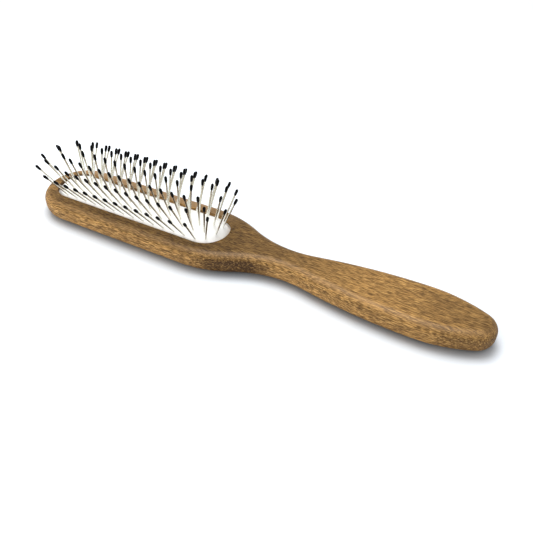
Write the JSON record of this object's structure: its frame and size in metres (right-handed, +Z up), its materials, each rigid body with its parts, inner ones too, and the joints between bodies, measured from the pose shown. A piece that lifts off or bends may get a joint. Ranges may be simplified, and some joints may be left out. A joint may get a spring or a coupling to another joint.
{
  "type": "pin brush",
  "caption": "Narrow wooden pin brush with a white domed rubber cushion, long steel wire pins with black rounded tips, and a waisted, swelling handle.",
  "frame": {"origin": "on the resting surface, under the middle of the object's bounding box", "axes": "+X along the brush from the brushing head to the butt of the handle, +Y across it, +Z up, the way the pins point"},
  "size_m": [0.22, 0.0394, 0.0325],
  "materials": {
    "wood": "brown-stained beech with fine flecks, semi-gloss lacquer",
    "cushion_rubber": "smooth white rubber, slightly glossy",
    "pin_steel": "polished wire",
    "tip_plastic": "gloss black"
  },
  "bodies": {
    "root": {"wooden_body": "wood", "rubber_cushion": "cushion_rubber", "pins_row_1": "pin_steel", "pins_row_2": "pin_steel", "pins_row_3": "pin_steel", "pins_row_4": "pin_steel", "pins_row_5": "pin_steel", "pins_row_6": "pin_steel", "pins_row_7": "pin_steel", "pins_head_end": "pin_steel", "pins_handle_end": "pin_steel", "tips_row_1": "tip_plastic", "tips_row_2": "tip_plastic", "tips_row_3": "tip_plastic", "tips_row_4": "tip_plastic", "tips_row_5": "tip_plastic", "tips_row_6": "tip_plastic", "tips_row_7": "tip_plastic", "tips_head_end": "tip_plastic", "tips_handle_end": "tip_plastic"}
  },
  "joints": []
}
